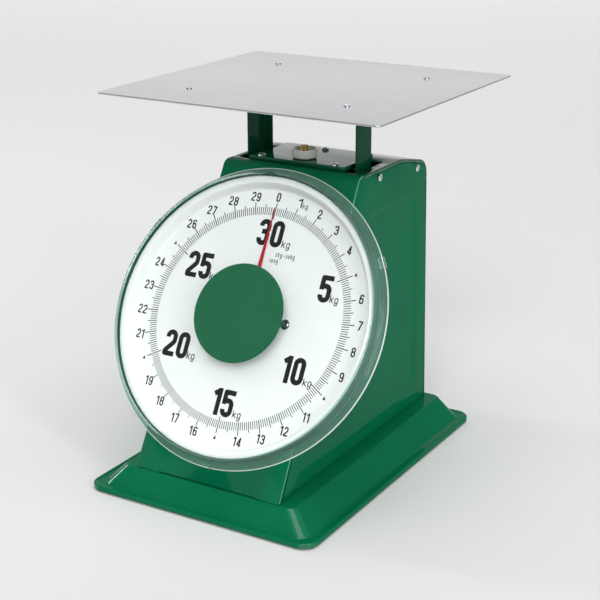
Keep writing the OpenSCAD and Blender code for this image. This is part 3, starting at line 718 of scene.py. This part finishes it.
def makeBridge():
    # the outline shrinks over a rounded edge, from the lip up to the flat top
    v = bridgeValues
    low, high = nodeBox("bridge_plate")
    front, back, half = low[1], high[1], high[0]
    narrow, step, round3 = v["backHalf"], v["stepY"], [v["corner"]] * 3
    corners = [(-half, front), (half, front), (half, step), (narrow, step),
               (narrow, back), (-narrow, back), (-narrow, step), (-half, step)]
    radii = [*round3, 1, *round3[:2], 1, v["corner"]]
    bend = np.radians(np.linspace(0, 90, 6))
    insets = np.concatenate([[0], v["edge"] * (1 - np.cos(bend))])
    heights = np.concatenate([[high[2] - v["lip"]], high[2] - v["edge"] * (1 - np.sin(bend))])
    grid = []
    for inset, z in zip(insets, heights):
        ring = roundedPath(insetCorners(corners, inset), np.maximum(np.array(radii) - inset, 0.3), steps=5)
        grid.append(atHeight(ring, z))
    piece = gridPiece("bridge_plate_cover", np.array(grid), wrapColumns=True, caps="last",
                      closed=False, outward=(0, 0, 1))
    finishPiece(thicken(piece, v["sheet"]), "base", "green_enamel", topEnamel, "bridge_plate")


makeBridge()


def turnedPiece(name, profile, segments, place, **options):
    # a closed profile of (radius, height) turned and then placed; place takes points
    grid = turnedGrid(np.asarray(profile, float), segments)
    faces = gridFaces(len(profile), segments, wrapRows=True, wrapColumns=True)
    return meshPiece(name, place(grid.reshape(-1, 3)), faces, **options)


hangBox = nodeBox("zero_rod")
hangPlace = np.array([0, (hangBox[0][1] + hangBox[1][1]) / 2, 0])
knobLow, knobHigh = nodeBox("zero_knob")
knobValues = {"rim": 2.4, "dish": 3.0, "foot": 2.2, "edge": 0.9, "bore": 5.1}


def makeKnob():
    v = knobValues
    radius = (knobHigh - knobLow)[0] / 2
    low, high = knobLow[2], knobHigh[2]
    floor = high - v["dish"]
    profile = roundedPath(
        [(v["bore"], low), (radius - 0.5, low), (radius, high), (radius - v["rim"], high),
         (radius - v["rim"] - 0.5, floor), (v["bore"], floor + 0.3)],
        [0.3, v["foot"], v["edge"], 0.8, 1.2, 0.3], steps=6,
    )
    piece = turnedPiece("zero_knob_body", profile, 96, lambda p: p + hangPlace, sharp=40)
    finishPiece(piece, "zero_knob", "knob_cream", knobCream, "zero_knob")


rodValues = {"pitch": 1.5, "depth": 0.45, "rowsPerTurn": 8, "chamfer": 0.8}


def makeZeroRod():
    # a thread: the radius falls and rises with the height minus the helix's own rise
    v = rodValues
    low, high = hangBox[0][2], hangBox[1][2]
    radius = (hangBox[1] - hangBox[0])[0] / 2
    rows = int((high - low) / v["pitch"] * v["rowsPerTurn"])
    around = np.linspace(0, 2 * np.pi, 48, endpoint=False)
    z, a = np.meshgrid(np.linspace(low, high, rows), around, indexing="ij")
    phase = (z / v["pitch"] - a / (2 * np.pi)) % 1
    r = radius - v["depth"] * (1 - np.abs(2 * phase - 1))
    r = np.minimum(r, radius - v["chamfer"] + (high - z) * 1.0)
    grid = np.stack([r * np.cos(a), r * np.sin(a), z], -1) + hangPlace
    piece = gridPiece("zero_rod_thread", grid, wrapColumns=True, caps="first last", sharp=60)
    finishPiece(piece, "spring_hanger", "brass", brass, "zero_rod")


makeKnob()
makeZeroRod()
print("bridge, knob and rod done")

# ---- uprights and weighing plate ---------------------------------------------

uprightValues = {"wall": 2.0, "bend": 3.2, "railDrop": 12, "footBand": 0.1}


def makeUpright(side, name, node):
    # an angle section with one bend, drawn out from its foot to the plate; the flange's
    # top is cut away under the rail, as on the CAD upright
    v = uprightValues
    low, high = nodeBox(node)
    outer = high[0] if side > 0 else -low[0]
    inner = low[0] if side > 0 else -high[0]
    front, back, wall = low[1], high[1], v["wall"]
    section = roundedPath(
        [(outer, front), (outer, back), (inner, back), (inner, back - wall), (outer - wall, back - wall),
         (outer - wall, front)],
        [0.5, v["bend"], 0.5, 0.5, v["bend"] - wall, 0.5], steps=6,
    )
    section[:, 0] *= side
    shoulder = high[2] - v["railDrop"]
    levels = (low[2], low[2] + v["footBand"], shoulder)
    grid = np.array([atHeight(section, z) for z in levels])
    lower = grid.reshape(-1, 3), gridFaces(*grid.shape[:2], wrapColumns=True) + endCaps(*grid.shape[:2])
    webBack = back - v["bend"]
    web = roundedPath([(outer, front), (outer, webBack), (outer - wall, webBack), (outer - wall, front)],
                      0.5, steps=3)
    web[:, 0] *= side
    grid = np.array([atHeight(web, z) for z in (shoulder, high[2])])
    upper = grid.reshape(-1, 3), gridFaces(*grid.shape[:2], wrapColumns=True) + endCaps(*grid.shape[:2])
    piece = meshPiece(name, *joinParts([lower, upper]))
    # the uprights take the darker green, painted shade for the plate's shadow
    finishPiece(piece, "platform", "green_enamel", uprightShadeEnamel, node)


makeUpright(-1, "upright_left_angle", "upright_left")
makeUpright(1, "upright_right_angle", "upright_right")

plateValues = {"corner": 6, "edge": 0.9}


def makePlate():
    # a flat plate whose rim is rounded top and bottom
    v = plateValues
    middle = (plateLow + plateHigh) / 2
    halfX, halfY = (plateHigh - plateLow)[:2] / 2
    bend = np.radians(np.linspace(0, 90, 5))
    inset = v["edge"] * (1 - np.sin(bend))
    top = plateHigh[2] - v["edge"] * (1 - np.cos(bend))
    bottom = plateLow[2] + v["edge"] * (1 - np.cos(bend))
    insets, heights = np.concatenate([inset, inset[::-1]]), np.concatenate([top, bottom[::-1]])
    grid = np.array([
        atHeight(roundedRectangle(halfX - i, halfY - i, v["corner"] - i) + middle[:2], z)
        for i, z in zip(insets, heights)
    ])
    piece = gridPiece("weighing_plate", grid, wrapColumns=True, caps="first last", sharp=40)
    finishPiece(piece, "platform", "stainless_plate", stainless, "platform_plate")


makePlate()
print("platform done")

# ---- dial --------------------------------------------------------------------

def onDial(points):
    # points of (right, up the slope, out of the dial) in the scale's own frame
    points = np.asarray(points, float)
    basis = np.array([axisX, dialUp, dialOut])
    return points @ basis + dialCentre


def dialRadius(name):
    low, high = nodeBox(name)
    return (high - low)[0] / 2


dialValues = {
    "radius": dialRadius("dial_plate"), "face": 7.1, "rim": 19.8,
    "flat": 153, "step": 157, "sheet": 1.0, "hole": 6,
    "wallIn": dialRadius("dial_plate") + 1, "wallOut": dialRadius("dial_plate") + 3,
    "front": 30.5, "corner": 6, "flange": dialRadius("dial_crystal"),
    "flangeLow": 9.5, "flangeHigh": 12,
    "disc": dialRadius("centre_disc"),
    "wallViewBand": 2.5, "lipHighlightBand": 0.9,     # how far in from the wall and from the flange's edge the painted see-through view and the painted lip highlight start
    "housingTop": 23.2, "housingWall": 0.8,
}


def makeDialPlate():
    # a pressed dish: the flat face climbs to the rim along half a cosine wave
    v = dialValues
    t = np.linspace(0, 1, 14)
    climbR = v["flat"] - 2 + (v["step"] + 1 - v["flat"] + 2) * t
    climb = v["face"] + (v["rim"] - v["face"]) * (1 - np.cos(np.pi * t)) / 2
    front = np.concatenate([
        [(v["hole"], v["face"]), (60, v["face"]), (120, v["face"])],
        np.stack([climbR, climb], 1),
        [(v["radius"] - 2.5, v["rim"]), (v["radius"] - 0.7, v["rim"] - 0.25), (v["radius"], v["rim"] - 0.9)],
    ])
    back = front[::-1] - [0, v["sheet"]]
    back[0] = (v["radius"], v["rim"] - v["sheet"] - 0.4)
    piece = turnedPiece("dial_face", np.concatenate([front, back]), 192, onDial, sharp=40)
    finishPiece(piece, "base", "dial_white", dialWhite, "dial_plate")


def makeHousing():
    # the green pan behind the dial plate; its wall stands up close inside the crystal's wall
    v = dialValues
    r, top, wall = v["radius"], v["housingTop"], v["housingWall"]
    profile = roundedPath(
        [(12, 0), (r + wall, 0), (r + wall, top), (r + 0.1, top), (r + 0.1, 1.2), (12, 1.2)],
        [0.3, 2.5, 0.3, 0.3, 1.3, 0.3], steps=6,
    )
    piece = turnedPiece("dial_housing_pan", profile, 160, onDial, sharp=40)
    finishPiece(piece, "base", "green_enamel", housingEnamel, "dial_housing")


def crystalFaceRadius(piece):
    # distance of each face's middle from the dial's axis
    middles = np.array([polygon.center for polygon in piece.data.polygons]) / mm - dialCentre
    return np.hypot(middles @ axisX, middles @ dialUp)


def makeCrystal():
    # front pane, rounded shoulder, wall and flange, as one turned section
    v = dialValues
    wall = v["wallOut"] - v["wallIn"]
    profile = roundedPath(
        [(0, v["front"] - wall), (v["wallIn"], v["front"] - wall), (v["wallIn"], v["flangeLow"]),
         (v["flange"], v["flangeLow"]), (v["flange"], v["flangeHigh"]), (v["wallOut"], v["flangeHigh"]),
         (v["wallOut"], v["front"]), (0, v["front"])],
        [0, v["corner"] - wall, 0.3, 0.8, 0.8, 1.0, v["corner"], 0], steps=8, closed=False,
    )
    grid = turnedGrid(profile, 192)
    faces = gridFaces(len(profile), 192, wrapColumns=True)
    piece = meshPiece("dial_crystal_cover", onDial(grid.reshape(-1, 3)), faces, sharp=50)
    finishPiece(piece, "base", "clear_crystal", crystal, "dial_crystal")
    radius = crystalFaceRadius(piece)
    # the wall and shoulder get the teal haze, a painted view of the green case behind them
    paintWhere(piece, crystalWallPaintedView, radius > v["wallOut"] - v["wallViewBand"])
    # the flange's outer edge gets milky white, a painted highlight for its bright edge line
    paintWhere(piece, crystalLipHighlight, radius > v["flange"] - v["lipHighlightBand"])


def makeDisc():
    low = dialValues["front"] - (dialValues["wallOut"] - dialValues["wallIn"]) - 0.8
    r = dialValues["disc"]
    profile = np.array([(0, low), (r - 0.3, low), (r, low + 0.3), (r - 0.1, low + 0.7), (0, low + 0.7)])
    grid = turnedGrid(profile, 160)
    piece = meshPiece("centre_disc_badge", onDial(grid.reshape(-1, 3)),
                      gridFaces(len(profile), 160, wrapColumns=True), sharp=40)
    finishPiece(piece, "base", "disc_green", discGreen, "centre_disc")


clipValues = {"angles": (60, 180, 300), "width": 14, "wall": 1.4, "grip": 5}


def makeClips():
    # a C section bent along a short arc of the flange
    v, d = clipValues, dialValues
    out, hook = d["flange"] + v["wall"], d["radius"] + d["housingWall"]
    section = roundedPath(
        [(hook, d["flangeLow"] - 2), (out, d["flangeLow"] - 2), (out, d["flangeHigh"] + v["wall"]),
         (d["flange"] - v["grip"], d["flangeHigh"] + v["wall"]), (d["flange"] - v["grip"], d["flangeHigh"]),
         (d["flange"], d["flangeHigh"]), (d["flange"], d["flangeLow"]), (hook, d["flangeLow"])],
        [0.4, 1.2, 1.2, 0.4, 0.4, 0.2, 0.2, 0.4], steps=3,
    )
    spread = v["width"] / 2 / d["flange"]
    parts = []
    for clockwise in v["angles"]:
        a = np.radians(90 - clockwise) + np.linspace(-spread, spread, 7)[:, None]
        grid = np.stack([section[:, 0] * np.cos(a), section[:, 0] * np.sin(a), section[:, 1] + 0 * a], -1)
        faces = gridFaces(*grid.shape[:2], wrapColumns=True) + endCaps(*grid.shape[:2])
        parts.append((onDial(grid.reshape(-1, 3)), faces))
    piece = meshPiece("crystal_clip_set", *joinParts(parts), sharp=40)
    finishPiece(piece, "base", "clear_crystal", crystal, "crystal_clips")


def makeDialScrews():
    v = screwValues
    studRadius = nodeBox("dial_standoffs")[1][0] - v["standoffRadius"]
    places = []
    for a in np.radians([0, 120, 240]):
        origin = onDial([studRadius * np.cos(a), studRadius * np.sin(a), dialValues["face"]])
        places.append((origin, axisX, dialUp, dialOut))
    screwPiece("dial_screws", "base", places, v["dialRadius"], v["dialHeight"], v["dialWasher"])


pointerValues = {
    "out": 9.6, "thick": 1.0, "tail": 45, "tailHalf": 2.3, "root": 4.4, "tip": 0.4, "length": 131, "boss": 7,
}


def makePointer():
    # a tapered blade with a raised middle line, and its round boss
    v = pointerValues
    along = np.array([-v["tail"], -v["tail"] + 1, 0, v["length"] - 3, v["length"]])
    width = np.array([v["tailHalf"] - 0.5, v["tailHalf"], v["root"], v["tip"] + 0.1, v["tip"] * 0.4])
    side = np.array([-1, -0.55, 0, 0.55, 1, 0.55, 0, -0.55])
    lift = np.array([0, 0.85, 1, 0.85, 0, -0.6, -0.6, -0.6]) * v["thick"] / 2
    grid = np.zeros((len(along), len(side), 3))
    grid[..., 0] = width[:, None] * side
    grid[..., 1] = along[:, None]
    grid[..., 2] = v["out"] + lift
    blade = grid.reshape(-1, 3), gridFaces(*grid.shape[:2], wrapColumns=True) + endCaps(*grid.shape[:2])
    low = v["out"] - v["thick"] / 2 - 0.3
    profile = np.array([(0, low), (v["boss"] - 0.4, low), (v["boss"], low + 0.4), (v["boss"], low + 1.6),
                        (v["boss"] - 0.8, low + 2.2), (0, low + 2.2)])
    boss = turnedGrid(profile, 64).reshape(-1, 3), gridFaces(len(profile), 64, wrapColumns=True)
    points, faces = joinParts([blade, boss])
    piece = meshPiece("pointer_blade", onDial(points), faces, sharp=50)
    finishPiece(piece, "pointer_spindle", "pointer_red", pointerRed, "pointer")


makeDialPlate()
makeHousing()
makeCrystal()
makeDisc()
makeClips()
makeDialScrews()
makePointer()
print("dial body done")

printValues = {
    "capacity": 30, "perUnit": 10, "inkHeight": 0.06,
    "inner": 121.5, "minor": 130.8, "half": 133.8, "unit": 136.8, "fiveInner": 117,
    "minorWidth": 0.85, "halfWidth": 0.95, "unitWidth": 1.1,
    "numberRadius": 143.6,
    "markRadius": 141.2, "markSize": 4.6,
    # height, stroke, width and gap of each kind of figure
    "number": (11.0, 1.7, 5.39, 1.54), "unitMark": (4.2, 0.75, 2.8, 1.2), "row": (4.2, 0.7, 2.1, 1.26),
    "big": (31.5, 5.9, 15.8, 2.2), "bigMark": (6.3, 1.15, 4.6, 1.6),
    "unitMarkShift": (7.4, -3.4),
    # where each large number's middle stands, and its kg, as (right, up) from the dial's centre
    "bigPlaces": {30: (1.7, 100.6), 5: (89.6, 48.3), 10: (76.6, -48.5), 15: (-0.8, -101.3),
                  20: (-82.8, -47.5), 25: (-81.4, 49.2)},
    "bigMarks": {30: (25.2, 89.2), 5: (103.4, 37.2), 10: (97.0, -59.8), 15: (20.2, -112.2),
                 20: (-60.0, -58.4), 25: (-58.4, 37.8)},
    "rows": (("2kg-30kg", (28, 76.5)), ("100g", (15, 69))),
}


def makeTicks():
    # one thin bar for each graduation: its ends come from the kind of graduation, and all
    # bars are turned into place together
    v = printValues
    count = v["capacity"] * v["perUnit"]
    step = np.arange(count)
    five = step % (5 * v["perUnit"]) == 0
    unit = step % v["perUnit"] == 0
    half = (step % (v["perUnit"] // 2) == 0) & ~unit
    inner = np.where(five, v["fiveInner"], v["inner"])
    outer = np.where(unit, v["unit"], np.where(half, v["half"], v["minor"]))
    width = np.where(unit, v["unitWidth"], np.where(half, v["halfWidth"], v["minorWidth"])) / 2
    corners = np.array([(-1, 0), (1, 0), (1, 1), (-1, 1)])
    across = width[:, None] * corners[:, 0]
    along = inner[:, None] + (outer - inner)[:, None] * corners[:, 1]
    a = 2 * np.pi * step / count
    x = along * np.sin(a)[:, None] + across * np.cos(a)[:, None]
    y = along * np.cos(a)[:, None] - across * np.sin(a)[:, None]
    points = np.zeros((count, 8, 3))
    points[..., 0], points[..., 1] = np.tile(x, 2), np.tile(y, 2)
    points[:, :4, 2] = dialValues["face"]
    points[:, 4:, 2] = dialValues["face"] + v["inkHeight"]
    box = np.array([(0, 1, 2, 3), (4, 5, 6, 7), (0, 1, 5, 4), (1, 2, 6, 5), (2, 3, 7, 6), (3, 0, 4, 7)])
    faces = (box[None] + 8 * np.arange(count)[:, None, None]).reshape(-1, 4).tolist()
    printPiece("dial_graduations", [(points, faces)])


def figureStrokes(sign, w, a):
    # centre lines of one figure as (corners, radii, closed), in a cell w wide and 1 high,
    # where a is half the stroke; bowls are lines with wide corner arcs
    left, right, low, top, middle = a, w - a, a, 1 - a, w / 2
    bowl = (right - left) / 2 * 0.98
    strokes = {
        "0": [([(left, low), (right, low), (right, top), (left, top)], bowl, True)],
        "1": [([(right, 0), (right, 1)], 0, False), ([(0, 0.76), (right, 0.92)], 0, False)],
        "2": [([(left, 0.70), (left, top), (right, top), (right, 0.56), (left, 0.20), (left, low), (w, low)],
               [0, bowl, bowl, 0.16, 0.08, 0.004, 0], False)],
        "3": [([(left, 0.72), (left, top), (right, top), (right, 0.53), (middle - a, 0.53)],
               [0, bowl, bowl, bowl * 0.7, 0], False),
              ([(middle - a, 0.53), (right, 0.53), (right, low), (left, low), (left, 0.28)],
               [0, bowl * 0.8, bowl, bowl, 0], False)],
        "4": [([(right - a, 0), (right - a, 1)], 0, False),
              ([(right - a, 0.93), (left, 0.30), (left, 0.25), (w, 0.25)], [0, 0.02, 0.02, 0], False)],
        "5": [([(w, top), (left, top), (left, 0.46)], [0, 0.004, 0], False),
              ([(left, 0.50), (left + 0.01, 0.605), (right, 0.605), (right, low), (left, low), (left, 0.28)],
               [0, 0.06, bowl, bowl, bowl, 0], False)],
        "6": [([(left, low), (right, low), (right, 0.58), (left, 0.58)], bowl, True),
              ([(right, 0.74), (right, top), (left, top), (left, 0.3)], [0, bowl, bowl, 0], False)],
        "7": [([(0, top), (right, top), (right, 0.86), (middle - a, 0)], [0, 0.01, 0.05, 0], False)],
        "8": [([(left, low), (right, low), (right, 0.54), (left, 0.54)], bowl, True),
              ([(left, 0.54), (right, 0.54), (right, top), (left, top)], bowl, True)],
        "9": [([(left, 0.42), (right, 0.42), (right, top), (left, top)], bowl, True),
              ([(left, 0.26), (left, low), (right, low), (right, 0.7)], [0, bowl, bowl, 0], False)],
        "k": [([(left, 0), (left, 1.35)], 0, False), ([(w, 0.98), (left, 0.40)], 0, False),
              ([(middle - 0.06, 0.52), (w, 0)], 0, False)],
        "g": [([(left, low), (right, low), (right, 0.98), (left, 0.98)], bowl, True),
              ([(right, 0.98), (right, -0.36), (left, -0.36), (left, -0.22)], [0, bowl, bowl, 0], False)],
        "-": [([(0, 0.5), (w, 0.5)], 0, False)],
    }
    return strokes[sign]


def inkStroke(corners, radii, closed, halfStroke):
    # a ribbon with a low rectangular section along a centre line: the section's two sides
    # are the line's points moved along its normals
    line = roundedPath(corners, radii, steps=6, closed=closed)
    keep = np.linalg.norm(line - np.roll(line, 1, 0), axis=1) > 1e-5
    line = line[keep | (np.arange(len(line)) == 0)] if not closed else line[keep]
    before, after = line - np.roll(line, 1, 0), np.roll(line, -1, 0) - line
    if not closed:
        before[0], after[-1] = after[0], before[-1]
    before /= np.linalg.norm(before, axis=1)[:, None]
    after /= np.linalg.norm(after, axis=1)[:, None]
    middle = before + after
    middle /= np.linalg.norm(middle, axis=1)[:, None]
    widen = np.clip(1 / np.maximum((middle * before).sum(1), 0.3), 1, 2)[:, None]
    normal = np.stack([-middle[:, 1], middle[:, 0]], 1) * halfStroke * widen
    grid = np.zeros((len(line), 4, 3))
    grid[:, (0, 3), :2] = (line + normal)[:, None]
    grid[:, (1, 2), :2] = (line - normal)[:, None]
    grid[:, 2:, 2] = 1
    faces = gridFaces(len(line), 4, wrapRows=closed, wrapColumns=True)
    if not closed:
        faces += endCaps(len(line), 4)
    return grid, faces


def figureRow(words, height, stroke, width, gap, place):
    # a row of figures with its middle at place, standing on the dial's face
    parts, start = [], 0
    for sign in words:
        cell = width * (0.63 if sign == "1" and len(words) > 1 else 1.0)
        half = stroke / height / 2
        for corners, radii, closed in figureStrokes(sign, cell / height, half):
            grid, faces = inkStroke(corners, radii, closed, half)
            grid[..., :2] *= height
            grid[..., 0] += start
            grid[..., 2] = dialValues["face"] + grid[..., 2] * printValues["inkHeight"]
            parts.append((grid, faces))
        start += cell + gap
    points, faces = joinParts(parts)
    points[:, 0] += place[0] - (start - gap) / 2
    points[:, 1] += place[1] - height / 2
    return points, faces


def headingTo(value):
    # the direction in which a weight stands on the dial, as (right, up)
    a = 2 * np.pi * value / printValues["capacity"]
    return np.array([np.sin(a), np.cos(a)])


def markTriangle(middle):
    v = printValues
    corners = np.array([(-0.42, -0.5), (0.42, -0.5), (0, 0.5)]) * v["markSize"] + middle
    low = atHeight(corners, dialValues["face"])
    points = np.concatenate([low, low + [0, 0, v["inkHeight"]]])
    return points, [[0, 1, 2], [3, 4, 5], [0, 1, 4, 3], [1, 2, 5, 4], [2, 0, 3, 5]]


def printPiece(name, parts):
    points, faces = joinParts(parts)
    finishPiece(meshPiece(name, onDial(points), faces), "base", "dial_white", printBlack)


def makeNumbers():
    # small figures round the graduations, with a triangle where a large figure stands inside
    v = printValues
    small = []
    for value in range(v["capacity"]):
        if value in v["bigPlaces"]:
            small.append(markTriangle(headingTo(value) * v["markRadius"]))
        else:
            small.append(figureRow(str(value), *v["number"], headingTo(value) * v["numberRadius"]))
    place = headingTo(1) * v["numberRadius"] + v["unitMarkShift"]
    small.append(figureRow("kg", *v["unitMark"], place))
    small += [figureRow(words, *v["row"], place) for words, place in v["rows"]]
    printPiece("dial_small_figures", small)

    large = []
    for value, place in v["bigPlaces"].items():
        large.append(figureRow(str(value), *v["big"], place))
        large.append(figureRow("kg", *v["bigMark"], v["bigMarks"][value]))
    printPiece("dial_large_figures", large)


makeTicks()
makeNumbers()
print("dial print done")

# ---- floor, light and camera -------------------------------------------------

studio = {
    "floorSize": 60.0, "floor": (0.88, 0.88, 0.88), "world": 0.25,
    "sun": 1.05, "sunSpread": 26, "sunFrom": (0.35, -0.80, 0.62),
    "topSun": 1.0, "topSpread": 50,
}


def makeFloor():
    bpy.ops.mesh.primitive_plane_add(size=studio["floorSize"], location=(0, 0, 0))
    floor = bpy.context.object
    floor.name = "studio_floor"
    finish = Finish("floor_paper", Roughness=0.9)
    tone = finish.noise(3, 3)
    finish.feed(Base_Color=finish.blend(tone, studio["floor"], [0.985 * c for c in studio["floor"]]))
    floor.data.materials.append(finish.material)


def areaLight(name, place, target, size, power, colour=(1, 1, 1)):
    data = bpy.data.lights.new(name, "AREA")
    data.shape, data.size, data.size_y = "RECTANGLE", size[0], size[1]
    data.energy, data.color = power, colour
    lamp = bpy.data.objects.new(name, data)
    lamp.location = place
    lamp.rotation_euler = (Vector(target) - Vector(place)).to_track_quat("-Z", "Y").to_euler()
    bpy.context.scene.collection.objects.link(lamp)


def sunLight(name, place, strength, spread):
    data = bpy.data.lights.new(name, "SUN")
    data.energy, data.angle = strength, np.radians(spread)
    lamp = bpy.data.objects.new(name, data)
    lamp.rotation_euler = Vector(place).to_track_quat("Z", "Y").to_euler()
    bpy.context.scene.collection.objects.link(lamp)


def makeLights():
    world = bpy.data.worlds.new("studio")
    bpy.context.scene.world = world
    world.use_nodes = True
    back = world.node_tree.nodes["Background"]
    back.inputs["Color"].default_value = (1, 1, 1, 1)
    back.inputs["Strength"].default_value = studio["world"]
    sunLight("studio_sun", studio["sunFrom"], studio["sun"], studio["sunSpread"])
    sunLight("studio_top", (0.1, -0.1, 1), studio["topSun"], studio["topSpread"])
    areaLight("softbox_right", (2.0, -0.95, 1.0), (0.1, 0, 0.15), (0.3, 1.0), 12)
    areaLight("softbox_left", (-2.2, -0.25, 1.1), (0, 0, 0.1), (0.3, 1.0), 9)
    areaLight("softbox_back", (-3.8, 6.3, 2.9), (0, 0, 0.3), (7.6, 5.2), 90)


viewValues = {
    "eye": (0.83528, -1.37471, 0.75321), "lens": 85.02, "sensor": 36,
    "heading": 30.908, "down": 19.031, "roll": -0.129,   # degrees
}


def makeCamera():
    # the camera looks along its heading, tilted down, with a very slight roll
    v = viewValues
    heading, down, roll = np.radians([v["heading"], v["down"], v["roll"]])
    ahead = np.array([-np.sin(heading) * np.cos(down), np.cos(heading) * np.cos(down), -np.sin(down)])
    right = np.array([np.cos(heading), np.sin(heading), 0])
    up = np.cross(right, ahead)
    right, up = right * np.cos(roll) + up * np.sin(roll), up * np.cos(roll) - right * np.sin(roll)
    data = bpy.data.cameras.new("studio_camera")
    data.lens, data.sensor_width = v["lens"], v["sensor"]
    camera = bpy.data.objects.new("studio_camera", data)
    bpy.context.scene.collection.objects.link(camera)
    matrix = Matrix.Identity(4)
    for column, axis in enumerate((right, up, -ahead)):
        for row in range(3):
            matrix[row][column] = axis[row]
    matrix.translation = Vector(v["eye"])
    camera.matrix_world = matrix
    bpy.context.scene.camera = camera
    bpy.context.scene.view_settings.view_transform = "Standard"


makeFloor()
makeLights()
makeCamera()
print("studio done")
